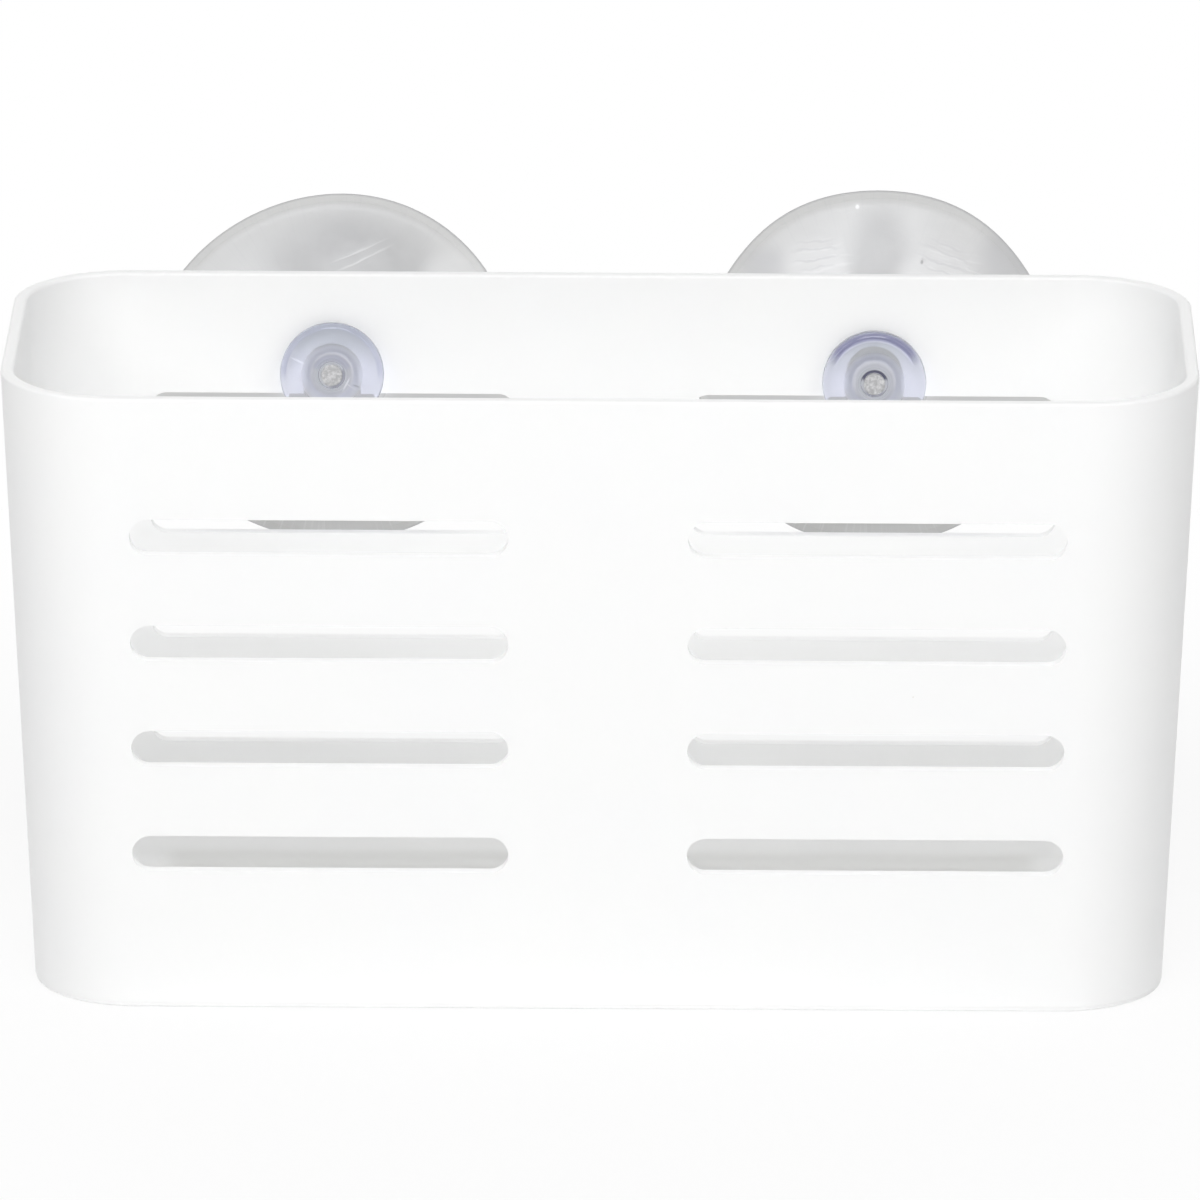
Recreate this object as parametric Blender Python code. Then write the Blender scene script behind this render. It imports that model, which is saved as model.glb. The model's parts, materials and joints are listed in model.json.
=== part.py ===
"""Suction basket for a bathroom or kitchen wall.

A slotted white tub with an open top, moulded in one piece, hangs on two clear suction cups. Each cup's neck passes
through an arched notch in the back wall, with its mushroom head inside the tub and its bell behind it.

Metres, +Z up, +X to the right, +Y to the back. The origin is the middle of the tub's underside.
"""

import math

import bmesh
import bpy
from mathutils import Matrix, Vector

MM = 0.001

# Tub
RIM_WIDTH = 255.0 * MM
RIM_DEPTH = 102.0 * MM
TUB_HEIGHT = 137.0 * MM
SIDE_DRAFT = math.radians(2.5)
FACE_DRAFT = math.radians(2.0)
WALL = 2.8 * MM
FLOOR = 2.8 * MM
RIM_CORNER_RADIUS = 24.5 * MM
BASE_CORNER_RADIUS = 22.5 * MM
LEAST_CORNER_RADIUS = 1.0 * MM
MOST_CORNER_SHARE = 0.98
BASE_EDGE_RADIUS = 0.8 * MM
RIM_EDGE_RADIUS = 0.7 * MM
FLOOR_FILLET = 3.0 * MM

# Slots through the front and back walls, and the same slot through the floor
SLOT_ROWS = 4
SLOT_HEIGHT = 7.95 * MM
TOP_BAND = 26.8 * MM
BOTTOM_BAND = 31.1 * MM
MIDDLE_BAND = 38.1 * MM
END_BAND = 28.15 * MM
DRAIN_ROWS = 3
DRAIN_PITCH = 22.0 * MM

# Suction cup
HEAD_DIAMETER = 22.7 * MM
HEAD_THICKNESS = 3.4 * MM
HEAD_BEVEL_WIDTH = 1.35 * MM
HEAD_BEVEL_DEPTH = 1.9 * MM
HEAD_BACK_RADIUS = 0.5 * MM
NUB_DIAMETER = 4.7 * MM
NUB_PROUD = 1.2 * MM
NUB_CHAMFER = 0.2 * MM
DIMPLE_CLEARANCE = 0.45 * MM
DIMPLE_DEPTH = 0.8 * MM
NECK_DIAMETER = 9.6 * MM
NECK_FILLET = 0.8 * MM
SHOULDER_FILLET = 2.2 * MM
BELL_DIAMETER = 79.0 * MM
BELL_DEPTH = 14.0 * MM
BELL_CENTRE_WALL = 3.2 * MM
LIP_WIDTH = 1.7 * MM
LIP_THICKNESS = 1.0 * MM
LIP_EDGE_RADIUS = 0.4 * MM

# How the cups sit in the back wall
NECK_CLEARANCE = 1.35 * MM
NOTCH_STRAIGHT = 5.1 * MM
SEAT_GAP = 0.3 * MM
BELL_GAP = 0.8 * MM
LEFT_DROOP = math.radians(11.7)
RIGHT_DROOP = math.radians(7.8)
LEFT_NECK_DROP = 0.9 * MM
RIGHT_NECK_DROP = 1.85 * MM

# Colours, as red, green and blue, and how the two plastics take light
WHITE = (0.93, 0.935, 0.93)
WHITE_ROUGHNESS = 0.42
CLEAR = (0.78, 0.80, 0.88)
CLEAR_ROUGHNESS = 0.12
CLEAR_ALPHA = 0.5
CLEAR_TRANSMISSION = 0.6

# How finely curves are divided, and how far a cutter runs past what it cuts
CORNER_STEPS = 8
EDGE_STEPS = 3
SLOT_END_STEPS = 8
TURN_STEPS = 48
DOME_STEPS = 9
CUT_OVERRUN = 5.0 * MM
SHARP_ANGLE = math.radians(32)

# Worked out from the sizes above
slot_length = RIM_WIDTH / 2 - END_BAND - MIDDLE_BAND / 2
slot_pitch = (TUB_HEIGHT - TOP_BAND - BOTTOM_BAND - SLOT_HEIGHT) / (SLOT_ROWS - 1)
top_slot_edge = TUB_HEIGHT - TOP_BAND
column_places = (-(MIDDLE_BAND + slot_length) / 2, (MIDDLE_BAND + slot_length) / 2)
notch_width = NECK_DIAMETER + 2 * NECK_CLEARANCE
arch_centre_height = top_slot_edge + NOTCH_STRAIGHT
head_radius = HEAD_DIAMETER / 2
dome_radius = BELL_DIAMETER / 2 - LIP_WIDTH


def clear_scene():
    for thing in list(bpy.data.objects):
        bpy.data.objects.remove(thing, do_unlink=True)


def plain_material(name, colour, roughness, alpha=1.0, transmission=0.0):
    material = bpy.data.materials.new(name)
    material.use_nodes = True
    shader = material.node_tree.nodes["Principled BSDF"]
    shader.inputs["Base Color"].default_value = (*colour, 1.0)
    shader.inputs["Roughness"].default_value = roughness
    shader.inputs["Metallic"].default_value = 0.0
    shader.inputs["Alpha"].default_value = alpha
    shader.inputs["Transmission Weight"].default_value = transmission
    return material


def quarter(steps):
    """Angles from 0 to a right angle."""
    return [math.pi / 2 * step / steps for step in range(steps + 1)]


def new_object(name, shape, material=None):
    """Turns a bmesh into a named object, shaded smooth with its sharp edges kept."""
    mesh = bpy.data.meshes.new(name)
    shape.to_mesh(mesh)
    shape.free()
    mesh.shade_smooth()
    mesh.set_sharp_from_angle(angle=SHARP_ANGLE)
    thing = bpy.data.objects.new(name, mesh)
    bpy.context.scene.collection.objects.link(thing)
    if material:
        mesh.materials.append(material)
    return thing


# The tub, as a stack of rounded rectangles


def half_width(height):
    return RIM_WIDTH / 2 - (TUB_HEIGHT - height) * math.tan(SIDE_DRAFT)


def half_depth(height):
    return RIM_DEPTH / 2 - (TUB_HEIGHT - height) * math.tan(FACE_DRAFT)


def tub_outline(height, inset):
    """Points round the tub at one height, moved in from its outer surface, anticlockwise seen from above."""
    wide = half_width(height) - inset
    deep = half_depth(height) - inset
    rise = height / TUB_HEIGHT
    radius = BASE_CORNER_RADIUS + (RIM_CORNER_RADIUS - BASE_CORNER_RADIUS) * rise - inset
    radius = max(radius, LEAST_CORNER_RADIUS)
    radius = min(radius, wide * MOST_CORNER_SHARE, deep * MOST_CORNER_SHARE)
    points = []
    for turn, (side, end) in enumerate(((1, 1), (-1, 1), (-1, -1), (1, -1))):
        for angle in quarter(CORNER_STEPS):
            bearing = angle + turn * math.pi / 2
            x = side * (wide - radius) + radius * math.cos(bearing)
            y = end * (deep - radius) + radius * math.sin(bearing)
            points.append(Vector((x, y, height)))
    return points


def tub_levels():
    """(height, inset) of each outline, up the outside, over the rim and down the inside."""
    levels = []
    for angle in quarter(EDGE_STEPS):
        levels.append((BASE_EDGE_RADIUS * (1 - math.cos(angle)), BASE_EDGE_RADIUS * (1 - math.sin(angle))))
    rim_foot = TUB_HEIGHT - RIM_EDGE_RADIUS
    for angle in quarter(EDGE_STEPS):
        levels.append((rim_foot + RIM_EDGE_RADIUS * math.sin(angle), RIM_EDGE_RADIUS * (1 - math.cos(angle))))
    for angle in quarter(EDGE_STEPS):
        levels.append((rim_foot + RIM_EDGE_RADIUS * math.cos(angle), WALL - RIM_EDGE_RADIUS * (1 - math.sin(angle))))
    for angle in quarter(EDGE_STEPS):
        levels.append((FLOOR + FLOOR_FILLET * (1 - math.sin(angle)), WALL + FLOOR_FILLET * (1 - math.cos(angle))))
    return levels


def tub_shell():
    shape = bmesh.new()
    rings = []
    for height, inset in tub_levels():
        rings.append([shape.verts.new(point) for point in tub_outline(height, inset)])
    count = len(rings[0])
    for lower, upper in zip(rings, rings[1:]):
        for here in range(count):
            after = (here + 1) % count
            shape.faces.new((lower[here], lower[after], upper[after], upper[here]))
    shape.faces.new(list(reversed(rings[0])))
    shape.faces.new(rings[-1])
    return shape


# Slots, notches and drains, as cutters


def slot_outline():
    """Points round one slot about its middle, as (along, across) pairs."""
    radius = SLOT_HEIGHT / 2
    straight = slot_length / 2 - radius
    points = []
    for side in (1, -1):
        for step in range(SLOT_END_STEPS + 1):
            angle = math.pi * step / SLOT_END_STEPS - math.pi / 2
            points.append((side * (straight + radius * math.cos(angle)), side * radius * math.sin(angle)))
    return points


def notch_outline():
    """Points round one notch, as (along, height) pairs, from inside the top slot up to its arch."""
    radius = notch_width / 2
    foot = top_slot_edge - SLOT_HEIGHT / 2
    points = [(-radius, foot), (radius, foot)]
    for step in range(SLOT_END_STEPS * 2 + 1):
        angle = math.pi * step / (SLOT_END_STEPS * 2)
        points.append((radius * math.cos(angle), arch_centre_height + radius * math.sin(angle)))
    return points


def add_prism(shape, near_end, travel):
    """Adds a closed prism: an end face through the points, carried along the travel."""
    near = [shape.verts.new(point) for point in near_end]
    far = [shape.verts.new(point + travel) for point in near_end]
    count = len(near)
    shape.faces.new(near)
    shape.faces.new(list(reversed(far)))
    for here in range(count):
        after = (here + 1) % count
        shape.faces.new((near[after], near[here], far[here], far[after]))


def slot_places():
    """(across, height) of the middle of each wall slot."""
    top_row = top_slot_edge - SLOT_HEIGHT / 2
    return [(x, top_row - row * slot_pitch) for x in column_places for row in range(SLOT_ROWS)]


def wall_slot_cutter():
    reach = RIM_DEPTH / 2 + CUT_OVERRUN
    shape = bmesh.new()
    for x, z in slot_places():
        end = [Vector((x + along, -reach, z + across)) for along, across in slot_outline()]
        add_prism(shape, end, Vector((0, 2 * reach, 0)))
    return shape


def notch_cutter():
    shape = bmesh.new()
    for x in column_places:
        end = [Vector((x + along, 0, height)) for along, height in notch_outline()]
        add_prism(shape, end, Vector((0, RIM_DEPTH / 2 + CUT_OVERRUN, 0)))
    return shape


def drain_cutter():
    shape = bmesh.new()
    for x in column_places:
        for row in range(DRAIN_ROWS):
            y = (row - (DRAIN_ROWS - 1) / 2) * DRAIN_PITCH
            end = [Vector((x + along, y + across, -CUT_OVERRUN)) for along, across in slot_outline()]
            add_prism(shape, end, Vector((0, 0, FLOOR + 2 * CUT_OVERRUN)))
    return shape


def cut(body, name, shape):
    bmesh.ops.recalc_face_normals(shape, faces=shape.faces)
    cutter = new_object(name, shape)
    cutter.hide_render = True
    cutter.display_type = "WIRE"
    modifier = body.modifiers.new(name, "BOOLEAN")
    modifier.operation = "DIFFERENCE"
    modifier.solver = "EXACT"
    modifier.object = cutter


def make_basket():
    white = plain_material("white_polypropylene", WHITE, WHITE_ROUGHNESS)
    basket = new_object("basket", tub_shell(), white)
    cut(basket, "wall_slot_cutter", wall_slot_cutter())
    cut(basket, "notch_cutter", notch_cutter())
    cut(basket, "drain_cutter", drain_cutter())
    return basket


# The suction cups, as turned shapes


def cap_radius(edge_radius, rise):
    """Radius of the sphere whose cap has this edge radius and rise."""
    return (edge_radius**2 + rise**2) / (2 * rise)


def cap_sag(sphere_radius, distance):
    """How far a sphere falls back from its top at this distance from its axis."""
    return sphere_radius - math.sqrt(sphere_radius**2 - distance**2)


dome_rise = BELL_DEPTH - LIP_THICKNESS
dome_sphere = cap_radius(dome_radius, dome_rise)


def lean_from_wall(droop):
    """Angle between a cup's axis and square to the back wall, which itself leans by the face draft."""
    return abs(droop - FACE_DRAFT)


def head_standoff(droop):
    """From the tilt axis in the middle of the wall to the back of a head whose upper edge touches the wall."""
    lean = lean_from_wall(droop)
    edge = head_radius - HEAD_BACK_RADIUS
    reach = WALL / 2 + SEAT_GAP + HEAD_BACK_RADIUS + edge * math.sin(lean)
    return reach / math.cos(lean) - HEAD_BACK_RADIUS


def bell_standoff(droop):
    """From the tilt axis to the top of a dome that clears the wall's outside at this droop, up or down."""
    lean = lean_from_wall(droop)
    return WALL / 2 / math.cos(lean) + BELL_GAP + dome_sphere * math.tan(lean) ** 2 / 2


neck_length = max(head_standoff(droop) + bell_standoff(droop) for droop in (LEFT_DROOP, RIGHT_DROOP))


def head_profile():
    """(along, radius) pairs down the head's front and side. The head's back is at zero."""
    face = -HEAD_THICKNESS
    nub = NUB_DIAMETER / 2
    nub_end = face - NUB_PROUD
    dimple = nub + DIMPLE_CLEARANCE
    points = [(nub_end, 0), (nub_end, nub - NUB_CHAMFER), (nub_end + NUB_CHAMFER, nub)]
    points += [(face + DIMPLE_DEPTH, nub), (face + DIMPLE_DEPTH, dimple), (face, dimple)]
    for angle in quarter(EDGE_STEPS + 1):
        along = face + HEAD_BEVEL_DEPTH * (1 - math.cos(angle))
        points.append((along, head_radius - HEAD_BEVEL_WIDTH * (1 - math.sin(angle))))
    for angle in quarter(EDGE_STEPS):
        along = HEAD_BACK_RADIUS * (math.sin(angle) - 1)
        points.append((along, head_radius - HEAD_BACK_RADIUS * (1 - math.cos(angle))))
    return points


def neck_profile():
    """From the head's back along the neck and out to the dome."""
    neck = NECK_DIAMETER / 2
    shoulder = neck + SHOULDER_FILLET
    swell = SHOULDER_FILLET + cap_sag(dome_sphere, shoulder)
    points = []
    for angle in quarter(EDGE_STEPS - 1):
        points.append((NECK_FILLET * (1 - math.cos(angle)), neck + NECK_FILLET * (1 - math.sin(angle))))
    for angle in quarter(EDGE_STEPS):
        along = neck_length - SHOULDER_FILLET + swell * math.sin(angle)
        points.append((along, shoulder - SHOULDER_FILLET * math.cos(angle)))
    return points


def bell_profile():
    """Over the dome, round the lip and back to the middle of the hollow."""
    shoulder = NECK_DIAMETER / 2 + SHOULDER_FILLET
    mouth = neck_length + BELL_DEPTH
    rim = BELL_DIAMETER / 2
    points = []
    for step in range(1, DOME_STEPS + 1):
        radius = shoulder + (dome_radius - shoulder) * step / DOME_STEPS
        points.append((neck_length + cap_sag(dome_sphere, radius), radius))
    points += [(mouth - LIP_THICKNESS, rim - LIP_EDGE_RADIUS), (mouth - LIP_THICKNESS + LIP_EDGE_RADIUS, rim)]
    points += [(mouth - LIP_EDGE_RADIUS, rim), (mouth, rim - LIP_EDGE_RADIUS), (mouth, dome_radius)]
    hollow_rise = BELL_DEPTH - BELL_CENTRE_WALL
    hollow_sphere = cap_radius(dome_radius - LIP_THICKNESS, hollow_rise)
    for step in range(DOME_STEPS, -1, -1):
        radius = (dome_radius - LIP_THICKNESS) * step / DOME_STEPS
        points.append((neck_length + BELL_CENTRE_WALL + cap_sag(hollow_sphere, radius), radius))
    return points


def turned_shape(profile):
    """Turns (along, radius) pairs about the Y axis. The first and the last lie on it."""
    shape = bmesh.new()
    rings = []
    for along, radius in profile[1:-1]:
        ring = []
        for step in range(TURN_STEPS):
            angle = 2 * math.pi * step / TURN_STEPS
            ring.append(shape.verts.new((radius * math.cos(angle), along, radius * math.sin(angle))))
        rings.append(ring)
    start = shape.verts.new((0, profile[0][0], 0))
    finish = shape.verts.new((0, profile[-1][0], 0))
    for here in range(TURN_STEPS):
        after = (here + 1) % TURN_STEPS
        shape.faces.new((start, rings[0][after], rings[0][here]))
        for near, far in zip(rings, rings[1:]):
            shape.faces.new((near[here], near[after], far[after], far[here]))
        shape.faces.new((finish, rings[-1][here], rings[-1][after]))
    bmesh.ops.recalc_face_normals(shape, faces=shape.faces)
    return shape


def make_suction_cup(name, x, droop, neck_drop):
    """A cup whose origin is on its tilt axis, in the middle of the back wall's thickness."""
    clear_pvc = plain_material(name + "_clear_pvc", CLEAR, CLEAR_ROUGHNESS, CLEAR_ALPHA, CLEAR_TRANSMISSION)
    shape = turned_shape(head_profile() + neck_profile() + bell_profile())
    bmesh.ops.transform(shape, matrix=Matrix.Translation((0, -head_standoff(droop), 0)), verts=shape.verts)
    cup = new_object(name, shape, clear_pvc)
    height = arch_centre_height - neck_drop
    cup.location = (x, half_depth(height) - WALL / 2, height)
    cup.rotation_euler = (-droop, 0, 0)
    return cup


clear_scene()
make_basket()
make_suction_cup("suction_cup_left", column_places[0], LEFT_DROOP, LEFT_NECK_DROP)
make_suction_cup("suction_cup_right", column_places[1], RIGHT_DROOP, RIGHT_NECK_DROP)
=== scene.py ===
import json
import math

import bmesh
import bpy
from mathutils import Matrix, Vector


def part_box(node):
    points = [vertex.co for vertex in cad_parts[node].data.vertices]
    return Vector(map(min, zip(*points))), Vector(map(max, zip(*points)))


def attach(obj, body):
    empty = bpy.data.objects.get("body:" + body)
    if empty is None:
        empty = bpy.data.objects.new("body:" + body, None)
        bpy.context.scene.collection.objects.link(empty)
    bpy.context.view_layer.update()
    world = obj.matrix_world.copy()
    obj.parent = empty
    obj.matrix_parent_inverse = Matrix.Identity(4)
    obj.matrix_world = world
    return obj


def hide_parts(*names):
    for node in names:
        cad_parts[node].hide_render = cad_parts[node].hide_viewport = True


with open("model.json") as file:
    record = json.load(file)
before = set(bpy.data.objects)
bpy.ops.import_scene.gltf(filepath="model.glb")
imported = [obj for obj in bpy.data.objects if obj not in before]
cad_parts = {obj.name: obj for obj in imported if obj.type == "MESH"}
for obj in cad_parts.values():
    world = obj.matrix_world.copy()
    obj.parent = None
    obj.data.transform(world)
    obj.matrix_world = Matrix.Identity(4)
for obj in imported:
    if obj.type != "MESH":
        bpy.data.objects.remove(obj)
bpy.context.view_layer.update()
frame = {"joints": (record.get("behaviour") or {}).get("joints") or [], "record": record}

MM = 0.001


def mm(*sizes):
    """Sizes in millimetres, as metres."""
    return tuple(size * MM for size in sizes)


# The tub, in the sizes of its solid
tub_low, tub_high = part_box("basket")
RIM_EDGE_RADIUS = 0.7 * MM
SIDE_DRAFT = math.radians(2.5)
FACE_DRAFT = math.radians(2.0)
WALL = 2.8 * MM
FLOOR = 2.8 * MM
RIM_CORNER_RADIUS = 24.5 * MM
BASE_CORNER_RADIUS = 22.5 * MM
FOOT_EDGE_RADIUS = 0.6 * MM
FOOT_HEIGHT = 1.1 * MM
FOOT_STEP = 0.14 * MM
FLOOR_FILLET = 3.0 * MM
CUT_EDGE_RADIUS = 0.6 * MM

# Slots in the front and back walls and in the floor, and the notches that hold the cups
SLOT_LENGTH = 80.3 * MM
SLOT_WIDTH = 7.95 * MM
SLOT_ROWS = 4
SLOT_PITCH = 23.7167 * MM
SLOT_COLUMNS = 2
COLUMN_SPACING = 118.4 * MM
TOP_SLOT_EDGE = 110.2 * MM
DRAIN_ROWS = 3
DRAIN_PITCH = 22.0 * MM
NOTCH_WIDTH = 12.3 * MM
NOTCH_TOP = 121.45 * MM
NOTCH_FOOT = 104.0 * MM
CUT_OVERRUN = 5.0 * MM

# One suction cup, as distances along its axis from the mouth of the bell and radii about it
BELL_RADIUS = 39.5 * MM
BELL_DEPTH = 14.0 * MM
BELL_CENTRE_WALL = 3.2 * MM
LIP_WIDTH = 1.7 * MM
LIP_THICKNESS = 1.0 * MM
LIP_EDGE_RADIUS = 0.4 * MM
NECK_LENGTH = 6.7046 * MM
NECK_RADIUS = 4.8 * MM
NECK_FILLET = 0.8 * MM
SHOULDER_FILLET = 2.2 * MM
HEAD_RADIUS = 11.35 * MM
HEAD_THICKNESS = 3.4 * MM
HEAD_BEVEL_WIDTH = 1.35 * MM
HEAD_BEVEL_DEPTH = 1.9 * MM
HEAD_BACK_RADIUS = 0.5 * MM
NUB_RADIUS = 2.35 * MM
NUB_PROUD = 1.2 * MM
NUB_CHAMFER = 0.25 * MM
DIMPLE_RADIUS = 2.85 * MM
DIMPLE_DEPTH = 0.8 * MM
DIMPLE_EDGE = 0.15 * MM

# How each loose bell has sagged out of round: its lip's shift across and up, and the shares of its radius that
# swell and shrink so many times round, as cosine and sine of the angle from the right towards the top
FLEX = {
    "left": {"shift": mm(-0.28, -0.33), "waves": {2: (0.0315, 0.0047), 3: (-0.0108, -0.0062)}},
    "right": {
        "shift": mm(0.77, 0.12),
        "waves": {2: (-0.0001, 0.0053), 3: (0.0022, -0.0015), 6: (0.006, 0)},
    },
}

# The white plastic: its colours, its wear, its gloss and its skin
WHITE_MOTTLE = {
    "Colour": (0.984, 0.985, 0.982, 1),
    "Patch Colour": (0.975, 0.977, 0.979, 1),
    "Patches Per Metre": 38.0,
    "Amount": 0.7,
}
WHITE_SPECKS = {"Cells Per Metre": 62.0, "Speck Share": 0.014, "Kept Share": 0.2}
WORN_COLOUR = (0.86, 0.85, 0.83, 1)
WHITE_ROUGHNESS = (0.54, 0.64)
WHITE_GRAIN = {"Grains Per Metre": 1600.0, "Waves Per Metre": 70.0, "Wave Share": 0.8}
WHITE_BUMP = {"Strength": 0.25, "Distance": 0.1 * MM}
WHITE_IOR = 1.49

# Painted shade that darkens the foot of the long walls inside, each as (where it ends, where it's full)
FOOT_SHADE_HEIGHTS = mm(7.5, 4.5)
FOOT_SHADE_OUTER_DEPTHS = mm(45.2, 44.2)
FOOT_SHADE_INNER_DEPTHS = mm(25, 36)
FOOT_SHADE_WIDTHS = mm(100, 92)
FOOT_SHADE_COLOUR = (0.86, 0.86, 0.85, 1)

# The cut end of the gate stub
TORN_MOTTLE = {
    "Colour": (0.41, 0.41, 0.42, 1),
    "Patch Colour": (0.66, 0.66, 0.67, 1),
    "Patches Per Metre": 1300.0,
    "Amount": 1.0,
}
TORN_ROUGHNESS = (0.55, 0.3)
TORN_GRAIN = {"Grains Per Metre": 4000.0, "Waves Per Metre": 1100.0, "Wave Share": 0.6}
TORN_BUMP = {"Strength": 0.6, "Distance": 0.3 * MM}

# The clear plastic: its gloss in the head and in the bell, its skin, and the colours of its depth and shadow
CLEAR_IOR = 1.53
CLEAR_ROUGHNESS = (0.12, 0.36)
HAZE_MOTTLE = {"Patches Per Metre": 70.0, "Amount": 0.3}
HAZE_ROUGHNESS = 0.12
WORN_RING_ROUGHNESS = 0.3
CLEAR_GRAIN = {"Grains Per Metre": 1500.0, "Waves Per Metre": 160.0, "Wave Share": 0.6}
CLEAR_BUMP = {"Strength": 0.2, "Distance": 0.2 * MM}
BELL_SPUN_LINES = {"Lines Per Radian": 45.0, "Breaks Per Metre": 60.0}
DEPTH_COLOUR = (0.62, 0.68, 1.0, 1)
DEPTH_DENSITY = 20.0
SHADOW_TINT = (0.86, 0.88, 0.95, 1)

# Tints of the clear plastic, many of them painted shade and painted highlights, and where they change
HEAD_SIDE_TINT = (0.78, 0.78, 0.8, 1)
# Painted shade on the upper part of each head
LEFT_HEAD_TOP_SHADE_TINT = (0.6, 0.61, 0.61, 1)
RIGHT_HEAD_TOP_SHADE_TINT = (0.66, 0.67, 0.66, 1)
HEAD_SHADE_LEVELS = mm(0, 9.5)
# Painted shade along the top of each head's bevel
HEAD_RIM_SHADE_TINT = (0.57, 0.58, 0.66, 1)
VIOLET_SHADE_TINT = (0.31, 0.305, 0.43, 1)
# Painted shade where the neck lies behind the head
NECK_SHADE_TINT = (0.48, 0.49, 0.5, 1)
# Painted highlights in rings on the heads
LEFT_RING_HIGHLIGHT_TINT = (0.84, 0.85, 0.89, 1)
RIGHT_RING_HIGHLIGHT_TINT = (0.8, 0.81, 0.85, 1)
FINE_RING_HIGHLIGHT_TINT = (0.85, 0.85, 0.9, 1)
# Painted shade in an arc above each stub, and painted shadow in the gap round it
DEEP_RING_SHADE_TINT = (0.35, 0.36, 0.43, 1)
GAP_SHADOW_TINT = (0.02, 0.02, 0.04, 1)
FAINT_GAP_SHADOW_TINT = (0.2, 0.2, 0.24, 1)
BELL_TINT = (0.63, 0.63, 0.62, 1)
# Painted shade: the bells darken towards their bottom
BELL_LOW_SHADE_TINT = (0.47, 0.47, 0.46, 1)
BELL_SHADE_LEVELS = mm(-30, 5)
# Painted shade in the middle and at the ends of the bells, and painted highlights beside it
BELL_SHADE_TINT = (0.43, 0.43, 0.425, 1)
LEFT_SHADE_TINT = (0.39, 0.39, 0.385, 1)
BELL_HIGHLIGHT_TINT = (0.69, 0.69, 0.68, 1)
BELL_END_SHADE_TINT = (0.54, 0.54, 0.54, 1)
BELL_LINE_TINT = (0.6, 0.6, 0.595, 1)
STREAK_TINT = (0.76, 0.76, 0.75, 1)
FAINT_STREAK_TINT = (0.62, 0.62, 0.61, 1)
DARK_STREAK_TINT = (0.54, 0.54, 0.54, 1)
# Painted shade in a thin line along each lip
LIP_SHADE_TINT = (0.45, 0.45, 0.45, 1)
LIP_LINE_WIDTH = 0.8 * MM
GLINT_TINT = (1, 1, 1, 1)
SPECK_TINT = (0.12, 0.12, 0.12, 1)
TRUE_PLACE = "true_place"

# Ways about a cup's axis, the cosine that takes a mark all the way round, and the radii and widths of rings
UPWARDS, DOWNWARDS = (0, 0, 1), (0, 0, -1)
LEFTWARDS, RIGHTWARDS = (-1, 0, 0), (1, 0, 0)
LOWER_RIGHT = (0.8, 0, -0.6)
ALL_ROUND = -2.0
BEVEL_RADIUS = HEAD_RADIUS - HEAD_BEVEL_WIDTH / 2
VIOLET_RING = (BEVEL_RADIUS - 0.45 * MM, 1.2 * HEAD_BEVEL_WIDTH)
FINE_RING = (BEVEL_RADIUS - HEAD_BEVEL_WIDTH, 0.35 * MM)
NECK_RING = (5.6 * MM, 1.6 * MM)
DEEP_RING = (3.75 * MM, 1.5 * MM)
GLINT_RING = (4.3 * MM, 0.5 * MM)
WORN_RING_WIDTH = 3.0 * MM
GAP_RADIUS, GAP_WIDTH = 2.6 * MM, 0.5 * MM

# How far in and how deep a patch lies along a cup's axis, in millimetres: on the head and through the bell
ON_HEAD, THROUGH_HEAD = -3.4, 3
IN_BELL, THROUGH_BELL = 14, 40


def head_patch(across, up, degrees, wide, high, tint):
    """An oval patch on the head's face as (centre, turn, reach, tint), from millimetres and degrees."""
    turn = (0, math.radians(degrees), 0)
    return mm(across, ON_HEAD, up), turn, mm(wide, THROUGH_HEAD, high), tint


def bell_patch(across, up, wide, high, tint, along=IN_BELL, deep=THROUGH_BELL):
    """A level oval patch in the bell as (centre, turn, reach, tint), from millimetres."""
    return mm(across, along, up), (0, 0, 0), mm(wide, deep, high), tint


def bell_streaks(across, up, degrees, wide, high, lines, tint):
    """Streaks in the bell as (centre, turn, reach, lines, tint), from millimetres and degrees."""
    turn = (0, math.radians(degrees), 0)
    return mm(across, IN_BELL, up), turn, mm(wide, THROUGH_BELL, high), lines, tint


# Marks in each cup, most of them painted shade and painted highlights, in its own directions: to the right,
# along its axis from the head's back, and up.
# An arc is (facing, reach, radius, width, tint)
LEFT_MARKS = {
    "head_top_shade_tint": LEFT_HEAD_TOP_SHADE_TINT,
    "head_arcs": (
        (UPWARDS, -0.2, BEVEL_RADIUS, HEAD_BEVEL_WIDTH, HEAD_RIM_SHADE_TINT),
        (UPWARDS, ALL_ROUND, *NECK_RING, LEFT_RING_HIGHLIGHT_TINT),
        (UPWARDS, 0.2, *DEEP_RING, DEEP_RING_SHADE_TINT),
        (LOWER_RIGHT, 0.3, GAP_RADIUS, GAP_WIDTH, FAINT_GAP_SHADOW_TINT),
    ),
    "head_patches": (
        head_patch(-7.4, 3.1, 25, 2.2, 0.35, GLINT_TINT),
        head_patch(3.2, -2.0, -62, 2.2, 0.3, GLINT_TINT),
        head_patch(4.3, -2.6, 35, 1.4, 0.25, GLINT_TINT),
        head_patch(5.4, -2.4, 20, 1.2, 0.3, NECK_SHADE_TINT),
    ),
    "bell_patches": (
        bell_patch(3.5, 22, 24, 17.5, LEFT_SHADE_TINT),
        bell_patch(27, 20, 10, 9, BELL_HIGHLIGHT_TINT),
    ),
    "bell_streaks": (bell_streaks(6, 25.5, -23, 9, 2.6, 0.5, FAINT_STREAK_TINT),),
}
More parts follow.
